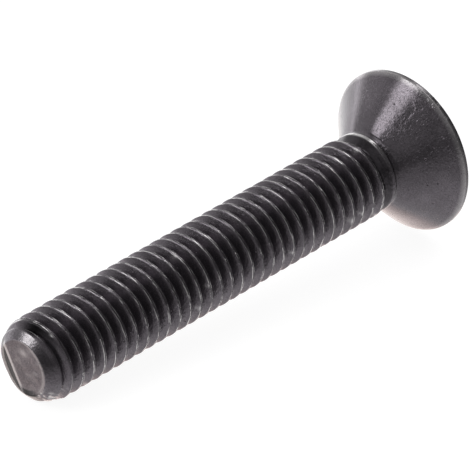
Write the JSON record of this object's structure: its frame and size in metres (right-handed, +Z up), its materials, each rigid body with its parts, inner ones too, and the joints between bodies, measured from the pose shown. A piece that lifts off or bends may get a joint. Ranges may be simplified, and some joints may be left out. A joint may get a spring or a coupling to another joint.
{
  "type": "countersunk socket screw",
  "caption": "Countersunk machine screw with a flat head, a hexagon socket and a coarse thread from its point to a narrow collar below the head, lying as it rests on a table.",
  "frame": {"origin": "on the table, under the middle of the lying screw's bounding box", "axes": "+X along the table towards the head, +Z up; the screw's own axis lies in the XZ plane and rises by 4.92 degrees towards the head"},
  "size_m": [0.03, 0.0096, 0.0096],
  "materials": {
    "black_steel": "satin black oxide, worn bright along the thread's crests"
  },
  "bodies": {
    "root": {"screw": "black_steel"}
  },
  "joints": []
}
